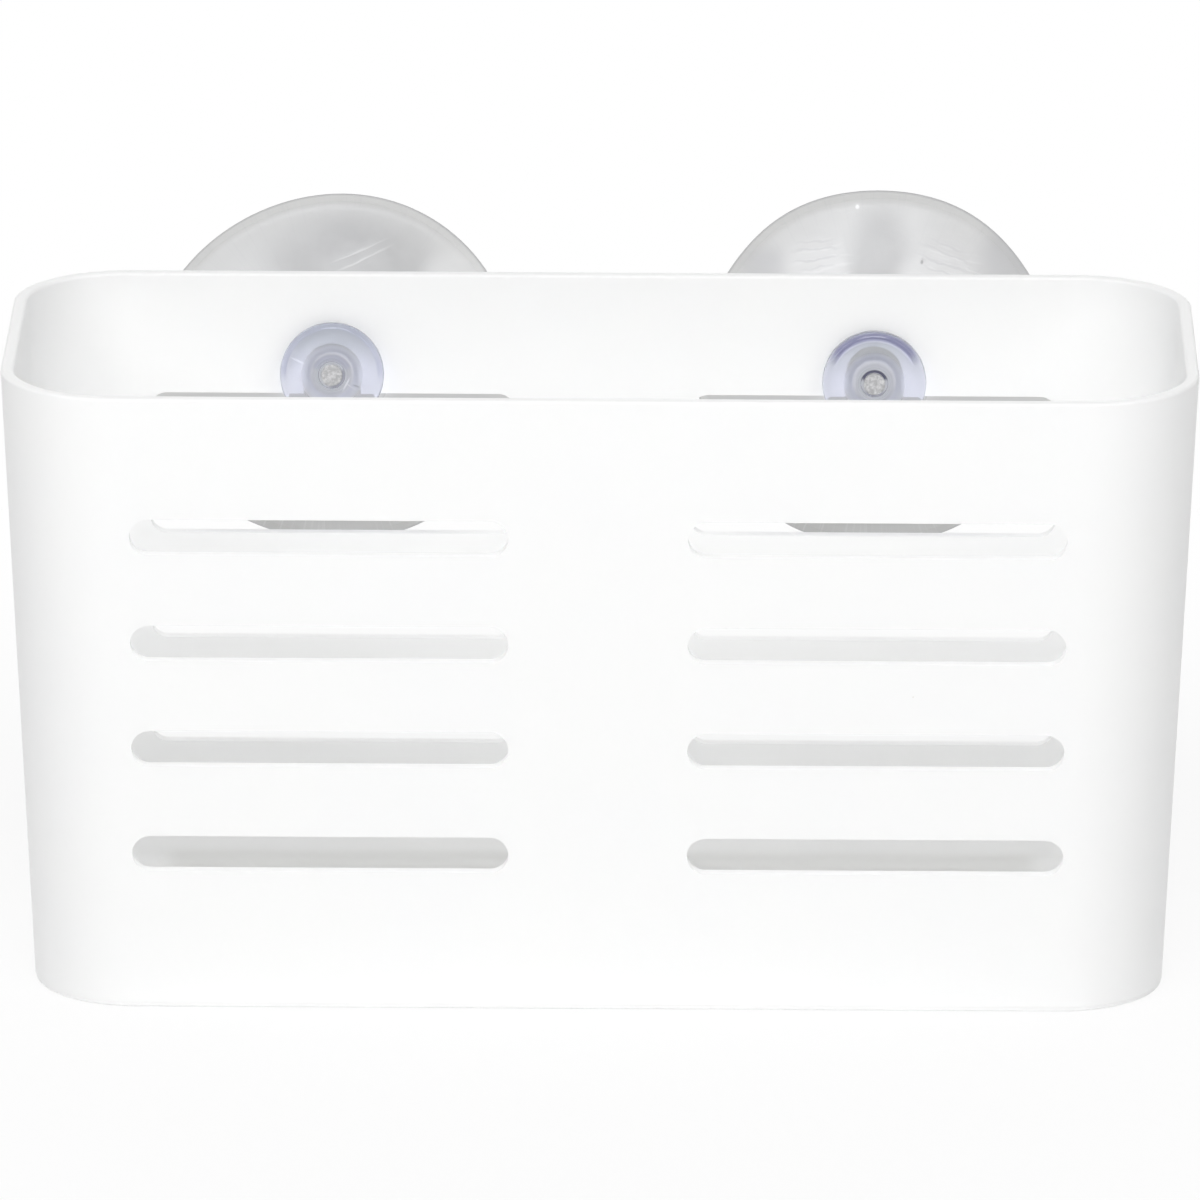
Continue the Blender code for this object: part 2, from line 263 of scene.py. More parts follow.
RIGHT_MARKS = {
    "head_top_shade_tint": RIGHT_HEAD_TOP_SHADE_TINT,
    "head_arcs": (
        (UPWARDS, 0.35, *VIOLET_RING, VIOLET_SHADE_TINT),
        (UPWARDS, ALL_ROUND, *NECK_RING, RIGHT_RING_HIGHLIGHT_TINT),
        (UPWARDS, 0.3, *FINE_RING, FINE_RING_HIGHLIGHT_TINT),
        (UPWARDS, 0.1, GAP_RADIUS, 1.8 * GAP_WIDTH, GAP_SHADOW_TINT),
        (DOWNWARDS, 0.5, GAP_RADIUS, GAP_WIDTH, FAINT_GAP_SHADOW_TINT),
        (LEFTWARDS, 0.85, *GLINT_RING, GLINT_TINT),
        (RIGHTWARDS, 0.9, *GLINT_RING, GLINT_TINT),
    ),
    "head_patches": (),
    "bell_patches": (
        bell_patch(-24, 22, 8, 7, BELL_END_SHADE_TINT),
        bell_patch(29, 25, 10, 10, BELL_END_SHADE_TINT),
        bell_patch(0.5, 24, 9.5, 16, BELL_SHADE_TINT),
        bell_patch(-14, 23, 9, 8, BELL_HIGHLIGHT_TINT),
        bell_patch(12, 21, 10, 7, BELL_HIGHLIGHT_TINT),
        bell_patch(-4.5, 36, 0.6, 0.6, GLINT_TINT, along=20, deep=20),
        bell_patch(10, 24.5, 0.45, 0.6, SPECK_TINT, deep=20),
    ),
    "bell_streaks": (
        bell_streaks(-12, 24, -14, 8, 7, 1.1, STREAK_TINT),
        bell_streaks(-13, 26, -8, 7, 5, 0.9, DARK_STREAK_TINT),
        bell_streaks(16, 23, 16, 9, 6, 1.2, STREAK_TINT),
        bell_streaks(15, 25, 22, 8, 5, 0.9, DARK_STREAK_TINT),
    ),
}

# How ragged specks are
RAGS_PER_METRE = 900.0
RAG_PUSH = mm(1.2, 1.2, 1.2)

# Where soft edges fade, in the terms of the group that each belongs to: from nothing to full
CLOUD_FADE = (0.38, 0.66)
PATCH_FADE = (1.0, 0.35)
STREAK_FADE = (0.72, 1.0)
ARC_FADE = (0.7, 0.3)
ARC_END_FADE = (0.0, 0.35)
SPUN_FADE = (0.5, 0.75)

# How finely round things are divided
CORNER_STEPS = 24
EDGE_STEPS = 6
SLOT_END_STEPS = 14
TURN_STEPS = 128
DOME_STEPS = 26
SMOOTH_ANGLE = math.radians(35)
CUT_EDGE_STEPS = 3
SOFTENED_ANGLE = math.radians(50)
NUB_CHAMFER_STEPS = 3
NEARLY_HALF = 0.4999
WELD_DISTANCE = 0.001 * MM

# The camera, fitted to the rim, the corners, the slots and the base in the photograph
CAMERA_ELEVATION = math.radians(16.99)
CAMERA_YAW = math.radians(-0.6)
CAMERA_ROLL = math.radians(0.136)
CAMERA_DISTANCE = 2.845
CAMERA_TARGET = Vector((-0.0001, 0, 0.07766))
CLIP_START, CLIP_END = 0.05, 60
FOCAL_LENGTH_MM = 395.25
SENSOR_MM = 36.0

# The studio: three square lamps in front, each as (place, radiance), in a dim room with a bright back wall
LAMP_SIZE = 1.2
LAMPS = {
    "left_lamp": ((-1.37, -1.522, 1.512), 2.85),
    "right_lamp": ((1.37, -1.522, 1.512), 1.98),
    "upper_lamp": ((0, -1.607, 1.993), 6.15),
}
ROOM_LIGHT = 0.18
BACK_WALL_LIGHT = 1.31

# The floor, and how white the camera sees it where the shadow lies and beyond it, and where that changes
FLOOR_RADIUS = 8.0
FLOOR_SIDES = 96
FLOOR_GAP = 0.2 * MM
FLOOR_COLOUR = (0.93, 0.93, 0.93, 1)
WHITE = (1, 1, 1, 1)
SHADOWED_WHITE = 0.86
OPEN_WHITE = 1.0
SHADOW_REACH = (0.14, 0.36)


def quarter(steps):
    """Angles from 0 to a right angle."""
    return [math.pi / 2 * step / steps for step in range(steps + 1)]


def link(thing):
    bpy.context.scene.collection.objects.link(thing)
    return thing


# Camera, light and floor


def make_camera():
    elevation, yaw, roll = CAMERA_ELEVATION, CAMERA_YAW, CAMERA_ROLL
    level = math.cos(elevation)
    ahead = Vector((math.sin(yaw) * level, math.cos(yaw) * level, -math.sin(elevation)))
    across = ahead.cross(Vector((0, 0, 1))).normalized()
    up = across.cross(ahead)
    right = across * math.cos(roll) + up * math.sin(roll)
    above = up * math.cos(roll) - across * math.sin(roll)
    camera = link(bpy.data.objects.new("camera", bpy.data.cameras.new("camera")))
    camera.data.sensor_width = SENSOR_MM
    camera.data.lens = FOCAL_LENGTH_MM
    camera.data.clip_start = CLIP_START
    camera.data.clip_end = CLIP_END
    turn = Matrix((right, above, -ahead)).transposed().to_4x4()
    camera.matrix_world = Matrix.Translation(CAMERA_TARGET - ahead * CAMERA_DISTANCE) @ turn
    bpy.context.scene.camera = camera


def add_node(tree, kind, inputs=None, **settings):
    """Adds a node with its properties. An input given as a socket is linked, and one given as a value is set."""
    node = tree.nodes.new(kind)
    for name, value in settings.items():
        setattr(node, name, value)
    for key, value in (inputs or {}).items():
        if isinstance(value, bpy.types.NodeSocket):
            tree.links.new(value, node.inputs[key])
        else:
            node.inputs[key].default_value = value
    return node


def worked(tree, operation, *values):
    """The result of one sum on numbers or sockets."""
    return add_node(tree, "ShaderNodeMath", dict(enumerate(values)), operation=operation).outputs[0]


def smooth_step(tree, value, start, stop):
    """0 before the start and 1 past the stop, smoothly between them."""
    step = add_node(
        tree,
        "ShaderNodeMapRange",
        {"Value": value, "From Min": start, "From Max": stop},
        interpolation_type="SMOOTHSTEP",
    )
    return step.outputs[0]


def blended(tree, factor, first, second):
    """One colour or the other, by the factor."""
    mixed = add_node(tree, "ShaderNodeMix", {"Factor": factor, 6: first, 7: second}, data_type="RGBA")
    return mixed.outputs[2]


def softbox(name, place, radiance):
    """A square lamp that looks at the object."""
    lamp = bpy.data.lights.new(name, "AREA")
    lamp.shape = "SQUARE"
    lamp.size = LAMP_SIZE
    lamp.energy = radiance * math.pi * LAMP_SIZE**2
    thing = link(bpy.data.objects.new(name, lamp))
    place = Vector(place)
    thing.location = place
    thing.rotation_euler = (CAMERA_TARGET - place).to_track_quat("-Z", "Y").to_euler()


def seen_directly(tree):
    """1 where the camera sees a thing, also mirrored or through the cups, and 0 where it only gives light."""
    path = add_node(tree, "ShaderNodeLightPath").outputs
    seen = path["Is Camera Ray"]
    for way in ("Is Glossy Ray", "Is Transmission Ray"):
        seen = worked(tree, "MAXIMUM", seen, path[way])
    return seen


def make_world():
    """White to the camera, and as light a dim room with a bright wall behind the object."""
    world = bpy.data.worlds.new("studio")
    bpy.context.scene.world = world
    world.use_nodes = True
    tree = world.node_tree
    tree.nodes.clear()
    way = add_node(tree, "ShaderNodeTexCoord").outputs["Generated"]
    behind = add_node(tree, "ShaderNodeSeparateXYZ", {0: way}).outputs["Y"]
    wall = worked(tree, "POWER", worked(tree, "MAXIMUM", behind, 0.0), 2.0)
    lit = worked(tree, "MULTIPLY_ADD", wall, BACK_WALL_LIGHT, ROOM_LIGHT)
    room = add_node(tree, "ShaderNodeBackground", {"Color": WHITE, "Strength": lit})
    white = add_node(tree, "ShaderNodeBackground", {"Color": WHITE, "Strength": 1.0})
    mixed = add_node(
        tree, "ShaderNodeMixShader", {0: seen_directly(tree), 1: room.outputs[0], 2: white.outputs[0]}
    )
    out = add_node(tree, "ShaderNodeOutputWorld")
    tree.links.new(mixed.outputs[0], out.inputs["Surface"])


def make_floor():
    """A pale floor that looks nearly white to the camera, also through the cups, and keeps a soft shadow."""
    material = bpy.data.materials.new("pale_floor")
    material.use_nodes = True
    tree = material.node_tree
    tree.nodes.clear()
    pale = add_node(tree, "ShaderNodeBsdfDiffuse", {"Color": FLOOR_COLOUR})
    white = add_node(tree, "ShaderNodeEmission", {"Color": WHITE, "Strength": 1.0})
    here = add_node(tree, "ShaderNodeTexCoord").outputs["Object"]
    away = add_node(tree, "ShaderNodeVectorMath", {0: here}, operation="LENGTH").outputs["Value"]
    cover = add_node(
        tree,
        "ShaderNodeMapRange",
        {
            "Value": away,
            "From Min": SHADOW_REACH[0],
            "From Max": SHADOW_REACH[1],
            "To Min": SHADOWED_WHITE,
            "To Max": OPEN_WHITE,
        },
        interpolation_type="SMOOTHSTEP",
    )
    share = worked(tree, "MULTIPLY", seen_directly(tree), cover.outputs[0])
    mixed = add_node(tree, "ShaderNodeMixShader", {0: share, 1: pale.outputs[0], 2: white.outputs[0]})
    out = add_node(tree, "ShaderNodeOutputMaterial")
    tree.links.new(mixed.outputs[0], out.inputs["Surface"])
    shape = bmesh.new()
    bmesh.ops.create_circle(shape, cap_ends=True, segments=FLOOR_SIDES, radius=FLOOR_RADIUS)
    mesh = bpy.data.meshes.new("floor")
    shape.to_mesh(mesh)
    shape.free()
    mesh.materials.append(material)
    floor = link(bpy.data.objects.new("floor", mesh))
    floor.location.z = tub_low.z - FLOOR_GAP


# Shader groups that more than one material uses


def new_shader_group(name, inputs, outputs):
    """An empty shader group. inputs is {name: (socket type, default)}, and outputs is {name: socket type}."""
    group = bpy.data.node_groups.new(name, "ShaderNodeTree")
    for label, (kind, default) in inputs.items():
        socket = group.interface.new_socket(label, in_out="INPUT", socket_type=kind)
        if default is not None:
            socket.default_value = default
    for label, kind in outputs.items():
        group.interface.new_socket(label, in_out="OUTPUT", socket_type=kind)
    entry = group.nodes.new("NodeGroupInput")
    end = group.nodes.new("NodeGroupOutput")
    return group, entry.outputs, end.inputs


def make_mottle_group():
    """Soft, uneven patches between two colours."""
    group, given, made = new_shader_group(
        "mottle",
        {
            "Vector": ("NodeSocketVector", None),
            "Colour": ("NodeSocketColor", (1, 1, 1, 1)),
            "Patch Colour": ("NodeSocketColor", (0, 0, 0, 1)),
            "Patches Per Metre": ("NodeSocketFloat", 40.0),
            "Amount": ("NodeSocketFloat", 0.5),
        },
        {"Colour": "NodeSocketColor", "Mask": "NodeSocketFloat"},
    )
    cloud = add_node(
        group,
        "ShaderNodeTexNoise",
        {"Vector": given["Vector"], "Scale": given["Patches Per Metre"], "Detail": 3.0, "Roughness": 0.6},
    )
    share = worked(group, "MULTIPLY", smooth_step(group, cloud.outputs["Fac"], *CLOUD_FADE), given["Amount"])
    group.links.new(blended(group, share, given["Colour"], given["Patch Colour"]), made["Colour"])
    group.links.new(share, made["Mask"])
    return group


def make_grain_group():
    """Heights for a moulded skin: fine grain on long, shallow waves."""
    group, given, made = new_shader_group(
        "moulded_grain",
        {
            "Vector": ("NodeSocketVector", None),
            "Grains Per Metre": ("NodeSocketFloat", 1500.0),
            "Waves Per Metre": ("NodeSocketFloat", 90.0),
            "Wave Share": ("NodeSocketFloat", 0.6),
        },
        {"Height": "NodeSocketFloat"},
    )
    grain = add_node(
        group,
        "ShaderNodeTexNoise",
        {"Vector": given["Vector"], "Scale": given["Grains Per Metre"], "Detail": 2.0},
    )
    waves = add_node(
        group,
        "ShaderNodeTexNoise",
        {"Vector": given["Vector"], "Scale": given["Waves Per Metre"], "Detail": 1.0},
    )
    height = add_node(
        group,
        "ShaderNodeMix",
        {"Factor": given["Wave Share"], 2: grain.outputs["Fac"], 3: waves.outputs["Fac"]},
        data_type="FLOAT",
    )
    group.links.new(height.outputs[0], made["Height"])
    return group


def make_speck_group():
    """Sparse small specks and scuffs, as a mask: ragged middles of a few cells."""
    group, given, made = new_shader_group(
        "specks",
        {
            "Vector": ("NodeSocketVector", None),
            "Cells Per Metre": ("NodeSocketFloat", 70.0),
            "Speck Share": ("NodeSocketFloat", 0.1),
            "Kept Share": ("NodeSocketFloat", 0.2),
        },
        {"Mask": "NodeSocketFloat"},
    )
    ragged = add_node(
        group, "ShaderNodeTexNoise", {"Vector": given["Vector"], "Scale": RAGS_PER_METRE, "Detail": 1.0}
    )
    pushed = add_node(
        group,
        "ShaderNodeVectorMath",
        {0: ragged.outputs["Color"], 1: RAG_PUSH, 2: given["Vector"]},
        operation="MULTIPLY_ADD",
    )
    cells = add_node(
        group,
        "ShaderNodeTexVoronoi",
        {"Vector": pushed.outputs[0], "Scale": given["Cells Per Metre"], "Randomness": 1.0},
    )
    near = worked(group, "LESS_THAN", cells.outputs["Distance"], given["Speck Share"])
    pick = add_node(group, "ShaderNodeSeparateColor", {0: cells.outputs["Color"]})
    kept = worked(group, "LESS_THAN", pick.outputs[0], given["Kept Share"])
    group.links.new(worked(group, "MULTIPLY", near, kept), made["Mask"])
    return group


def oval_patch(tree, place, centre, turn, reach):
    """1 in the middle of an oval patch and 0 outside it, and the place within it in shares of its reach."""
    local = add_node(
        tree,
        "ShaderNodeMapping",
        {"Vector": place, "Location": centre, "Rotation": turn, "Scale": reach},
        vector_type="TEXTURE",
    ).outputs[0]
    away = add_node(tree, "ShaderNodeVectorMath", {0: local}, operation="LENGTH").outputs["Value"]
    return smooth_step(tree, away, *PATCH_FADE), local


def patched(tree, colour, place, patches):
    """The colour with soft oval patches on it."""
    for centre, turn, reach, tint in patches:
        inside, _ = oval_patch(tree, place, centre, turn, reach)
        colour = blended(tree, inside, colour, tint)
    return colour


def make_streak_group():
    """Fine lines that wander side by side, within an oval patch."""
    group, given, made = new_shader_group(
        "flow_streaks",
        {
            "Vector": ("NodeSocketVector", None),
            "Centre": ("NodeSocketVector", None),
            "Turn": ("NodeSocketVector", None),
            "Reach": ("NodeSocketVector", None),
            "Lines": ("NodeSocketFloat", 1.0),
        },
        {"Mask": "NodeSocketFloat"},
    )
    inside, local = oval_patch(group, given["Vector"], given["Centre"], given["Turn"], given["Reach"])
    waves = add_node(
        group,
        "ShaderNodeTexWave",
        {"Vector": local, "Scale": given["Lines"], "Distortion": 5.0, "Detail": 2.0, "Detail Scale": 1.5},
        wave_type="BANDS",
        bands_direction="Z",
    )
    line = smooth_step(group, waves.outputs["Fac"], *STREAK_FADE)
    group.links.new(worked(group, "MULTIPLY", line, inside), made["Mask"])
    return group


def flat_radius(group, place):
    """The part of a place square to the Y axis, and how far it is from that axis."""
    flat = add_node(group, "ShaderNodeVectorMath", {0: place, 1: (1, 0, 1)}, operation="MULTIPLY").outputs[0]
    return flat, add_node(group, "ShaderNodeVectorMath", {0: flat}, operation="LENGTH").outputs["Value"]


def make_arc_group():
    """A soft line along a circle about the Y axis, strongest where it faces one way. Reach is a cosine."""
    group, given, made = new_shader_group(
        "arc_mark",
        {
            "Vector": ("NodeSocketVector", None),
            "Facing": ("NodeSocketVector", None),
            "Reach": ("NodeSocketFloat", 0.0),
            "Radius": ("NodeSocketFloat", 0.01),
            "Width": ("NodeSocketFloat", 0.001),
        },
        {"Mask": "NodeSocketFloat"},
    )
    flat, radius = flat_radius(group, given["Vector"])
    off = worked(group, "ABSOLUTE", worked(group, "SUBTRACT", radius, given["Radius"]))
    line = smooth_step(group, worked(group, "DIVIDE", off, given["Width"]), *ARC_FADE)
    way = add_node(group, "ShaderNodeVectorMath", {0: flat}, operation="NORMALIZE").outputs[0]
    turned = add_node(group, "ShaderNodeVectorMath", {0: way, 1: given["Facing"]}, operation="DOT_PRODUCT")
    past = worked(group, "SUBTRACT", turned.outputs["Value"], given["Reach"])
    near = smooth_step(group, past, *ARC_END_FADE)
    group.links.new(worked(group, "MULTIPLY", line, near), made["Mask"])
    return group


def make_spun_group():
    """Faint lines that run out from the Y axis, as a mould that was turned leaves them."""
    group, given, made = new_shader_group(
        "spun_lines",
        {
            "Vector": ("NodeSocketVector", None),
            "Lines Per Radian": ("NodeSocketFloat", 25.0),
            "Breaks Per Metre": ("NodeSocketFloat", 60.0),
        },
        {"Mask": "NodeSocketFloat"},
    )
    _, radius = flat_radius(group, given["Vector"])
    parts = add_node(group, "ShaderNodeSeparateXYZ", {0: given["Vector"]}).outputs
    angle = worked(group, "ARCTAN2", parts["X"], parts["Z"])
    turn = worked(group, "MULTIPLY", angle, given["Lines Per Radian"])
    out = worked(group, "MULTIPLY", radius, given["Breaks Per Metre"])
    spread = add_node(group, "ShaderNodeCombineXYZ", {"X": turn, "Y": out})
    lines = add_node(group, "ShaderNodeTexNoise", {"Vector": spread.outputs[0], "Scale": 1.0, "Detail": 2.0})
    group.links.new(smooth_step(group, lines.outputs["Fac"], *SPUN_FADE), made["Mask"])
    return group


# Materials


def new_material(name):
    material = bpy.data.materials.new(name)
    material.use_nodes = True
    shader = material.node_tree.nodes["Principled BSDF"]
    return material, material.node_tree, shader


def place_group(tree, group, inputs):
    node = tree.nodes.new("ShaderNodeGroup")
    node.node_tree = group
    for name, value in inputs.items():
        if isinstance(value, bpy.types.NodeSocket):
            tree.links.new(value, node.inputs[name])
        else:
            node.inputs[name].default_value = value
    return node.outputs


def place_arc(tree, groups, place, facing, reach, radius, width):
    """The mask of a soft line along a circle about a cup's axis."""
    values = {"Vector": place, "Facing": facing, "Reach": reach, "Radius": radius, "Width": width}
    return place_group(tree, groups["arc_mark"], values)["Mask"]


def ranged(tree, value, ends):
    """A value from 0 to 1 carried over to lie between two ends."""
    low, high = ends
    return add_node(tree, "ShaderNodeMapRange", {"Value": value, "To Min": low, "To Max": high}).outputs[0]


def add_skin(tree, groups, place, grain, bump):
    """Fine relief of a moulded skin, as the shader's normal."""
    skin = place_group(tree, groups["grain"], {"Vector": place, **grain})
    relief = add_node(tree, "ShaderNodeBump", {"Height": skin["Height"], **bump})
    tree.links.new(relief.outputs[0], tree.nodes["Principled BSDF"].inputs["Normal"])


def white_polypropylene(groups):
    """Satin white moulding, faintly uneven, with a few specks of wear and painted shade low down inside."""
    material, tree, shader = new_material("white_polypropylene")
    here = add_node(tree, "ShaderNodeTexCoord").outputs["Object"]
    body = place_group(tree, groups["mottle"], {"Vector": here, **WHITE_MOTTLE})
    x, y, height = add_node(tree, "ShaderNodeSeparateXYZ", {0: here}).outputs
    in_width, in_depth = worked(tree, "ABSOLUTE", x), worked(tree, "ABSOLUTE", y)
    # Painted shade: a darker colour low down at the foot of the long walls inside
    foot_shade = smooth_step(tree, height, *FOOT_SHADE_HEIGHTS)
    for distance, fade in (
        (in_depth, FOOT_SHADE_OUTER_DEPTHS),
        (in_depth, FOOT_SHADE_INNER_DEPTHS),
        (in_width, FOOT_SHADE_WIDTHS),
    ):
        foot_shade = worked(tree, "MULTIPLY", foot_shade, smooth_step(tree, distance, *fade))
    with_foot_shade = blended(tree, foot_shade, body["Colour"], FOOT_SHADE_COLOUR)
    specks = place_group(tree, groups["specks"], {"Vector": here, **WHITE_SPECKS})
    worn = blended(tree, specks["Mask"], with_foot_shade, WORN_COLOUR)
    tree.links.new(worn, shader.inputs["Base Color"])
    tree.links.new(ranged(tree, body["Mask"], WHITE_ROUGHNESS), shader.inputs["Roughness"])
    add_skin(tree, groups, here, WHITE_GRAIN, WHITE_BUMP)
    shader.inputs["IOR"].default_value = WHITE_IOR
    return material


def let_lamps_through(material, tint):
    """Lets rays from a lamp pass this clear material unbent and tinted, so that it throws no black shadow."""
    tree = material.node_tree
    shader = tree.nodes["Principled BSDF"]
    out = tree.nodes["Material Output"]
    path = add_node(tree, "ShaderNodeLightPath")
    open_way = add_node(tree, "ShaderNodeBsdfTransparent", {"Color": tint})
    mixed = add_node(
        tree,
        "ShaderNodeMixShader",
        {0: path.outputs["Is Shadow Ray"], 1: shader.outputs[0], 2: open_way.outputs[0]},
    )
    tree.links.new(mixed.outputs[0], out.inputs["Surface"])


def clear_pvc(name, groups, marks):
    """Soft clear plastic: lavender in the thick head, and smoky with spun lines and streaks in the bell, with
    painted shade and painted highlights on both.
    """
    material, tree, shader = new_material(name)
    place = add_node(tree, "ShaderNodeAttribute", attribute_name=TRUE_PLACE).outputs["Vector"]
    _, along, up = add_node(tree, "ShaderNodeSeparateXYZ", {0: place}).outputs
    in_bell = smooth_step(tree, along, NECK_LENGTH, NECK_LENGTH + SHOULDER_FILLET)

    # Painted shade: each head is darker towards its top
    head = blended(tree, smooth_step(tree, up, *HEAD_SHADE_LEVELS), HEAD_SIDE_TINT, marks["head_top_shade_tint"])
    _, radius = flat_radius(tree, place)
    # Painted shade over the neck behind the head
    neck_shade_mask = smooth_step(tree, radius, NECK_RADIUS, NECK_RADIUS - NECK_FILLET)
    head = blended(tree, neck_shade_mask, head, NECK_SHADE_TINT)
    # Painted shade and painted highlights in arcs round the cup's axis on the head
    for *line, tint in marks["head_arcs"]:
        head = blended(tree, place_arc(tree, groups, place, *line), head, tint)
    # Painted highlights and painted shade in patches on the head
    head = patched(tree, head, place, marks["head_patches"])

    # Painted shade: the bell is darker towards its bottom
    bell = blended(tree, smooth_step(tree, up, *BELL_SHADE_LEVELS), BELL_LOW_SHADE_TINT, BELL_TINT)
    spun = place_group(tree, groups["spun_lines"], {"Vector": place, **BELL_SPUN_LINES})
    bell = blended(tree, spun["Mask"], bell, BELL_LINE_TINT)
    # Painted shade and painted highlights in patches in the bell, and one dark speck
    bell = patched(tree, bell, place, marks["bell_patches"])
    haze = place_group(
        tree,
        groups["mottle"],
        {"Vector": place, "Colour": bell, "Patch Colour": BELL_TINT, **HAZE_MOTTLE},
    )
    # Painted shade along the lip
    lip_shade = place_arc(tree, groups, place, UPWARDS, ALL_ROUND, BELL_RADIUS, LIP_LINE_WIDTH)
    bell = blended(tree, lip_shade, haze["Colour"], LIP_SHADE_TINT)
    for centre, turn, reach, lines, tint in marks["bell_streaks"]:
        streaks = place_group(
            tree,
            groups["streaks"],
            {"Vector": place, "Centre": centre, "Turn": turn, "Reach": reach, "Lines": lines},
        )
        bell = blended(tree, streaks["Mask"], bell, tint)
    tree.links.new(blended(tree, in_bell, head, bell), shader.inputs["Base Color"])

    satin = ranged(tree, in_bell, CLEAR_ROUGHNESS)
    rough = worked(tree, "MULTIPLY_ADD", haze["Mask"], HAZE_ROUGHNESS, satin)
    ring_radius = NECK_RADIUS + NECK_FILLET / 2
    worn_ring = place_arc(tree, groups, place, UPWARDS, ALL_ROUND, ring_radius, WORN_RING_WIDTH)
    worn = worked(tree, "MULTIPLY", worn_ring, worked(tree, "SUBTRACT", 1.0, in_bell))
    rough = worked(tree, "MULTIPLY_ADD", worn, WORN_RING_ROUGHNESS, rough)
    tree.links.new(rough, shader.inputs["Roughness"])
    add_skin(tree, groups, place, CLEAR_GRAIN, CLEAR_BUMP)
    shader.inputs["Transmission Weight"].default_value = 1.0
    shader.inputs["IOR"].default_value = CLEAR_IOR
    absorb = add_node(tree, "ShaderNodeVolumeAbsorption", {"Color": DEPTH_COLOUR, "Density": DEPTH_DENSITY})
    tree.links.new(absorb.outputs[0], tree.nodes["Material Output"].inputs["Volume"])
    let_lamps_through(material, SHADOW_TINT)
    return material


def torn_end(groups):
    """The cut end of the gate stub: frosted and blotchy."""
    material, tree, shader = new_material("torn_gate_end")
    here = add_node(tree, "ShaderNodeTexCoord").outputs["Object"]
    blotches = place_group(tree, groups["mottle"], {"Vector": here, **TORN_MOTTLE})
    tree.links.new(blotches["Colour"], shader.inputs["Base Color"])
    tree.links.new(ranged(tree, blotches["Mask"], TORN_ROUGHNESS), shader.inputs["Roughness"])
    add_skin(tree, groups, here, TORN_GRAIN, TORN_BUMP)
    shader.inputs["IOR"].default_value = CLEAR_IOR
    return material


# The tub


def half_width(height):
    return tub_high.x + (RIM_EDGE_RADIUS - (tub_high.z - height)) * math.tan(SIDE_DRAFT)


def half_depth(height):
    return tub_high.y + (RIM_EDGE_RADIUS - (tub_high.z - height)) * math.tan(FACE_DRAFT)


def tub_outline(height, inset):
    """Points round the tub at one height, moved in from its outer surface, anticlockwise seen from above."""
    wide = half_width(height) - inset
    deep = half_depth(height) - inset
    rise = height / tub_high.z
    radius = BASE_CORNER_RADIUS + (RIM_CORNER_RADIUS - BASE_CORNER_RADIUS) * rise - inset
    points = []
    for turn, (side, end) in enumerate(((1, 1), (-1, 1), (-1, -1), (1, -1))):
        for angle in quarter(CORNER_STEPS):
            bearing = angle + turn * math.pi / 2
            x = side * (wide - radius) + radius * math.cos(bearing)
            y = end * (deep - radius) + radius * math.sin(bearing)
            points.append(Vector((x, y, height)))
    return points


def tub_levels():
    """(height, inset) of each outline: the foot, its small step, the outside, the rim and the inside."""
    levels = []
    for angle in quarter(EDGE_STEPS):
        rise = FOOT_EDGE_RADIUS * (1 - math.cos(angle))
        levels.append((rise, FOOT_STEP + FOOT_EDGE_RADIUS * (1 - math.sin(angle))))
    levels += [(FOOT_HEIGHT - FOOT_STEP / 2, FOOT_STEP), (FOOT_HEIGHT + FOOT_STEP / 2, 0)]
    rim_foot = tub_high.z - RIM_EDGE_RADIUS
    for angle in quarter(EDGE_STEPS):
        levels.append((rim_foot + RIM_EDGE_RADIUS * math.sin(angle), RIM_EDGE_RADIUS * (1 - math.cos(angle))))
    for angle in quarter(EDGE_STEPS):
        inset = WALL - RIM_EDGE_RADIUS * (1 - math.sin(angle))
        levels.append((rim_foot + RIM_EDGE_RADIUS * math.cos(angle), inset))
    for angle in quarter(EDGE_STEPS):
        inset = WALL + FLOOR_FILLET * (1 - math.cos(angle))
        levels.append((FLOOR + FLOOR_FILLET * (1 - math.sin(angle)), inset))
    return levels


def tub_shell():
    shape = bmesh.new()
    rings = []
    for height, inset in tub_levels():
        rings.append([shape.verts.new(point) for point in tub_outline(height, inset)])
    count = len(rings[0])
    for lower, upper in zip(rings, rings[1:]):
        for here in range(count):
            after = (here + 1) % count
            shape.faces.new((lower[here], lower[after], upper[after], upper[here]))
    shape.faces.new(list(reversed(rings[0])))
    shape.faces.new(rings[-1])
    mesh = bpy.data.meshes.new("tub_shell")
    shape.to_mesh(mesh)
    shape.free()
    return link(bpy.data.objects.new("tub_shell", mesh))


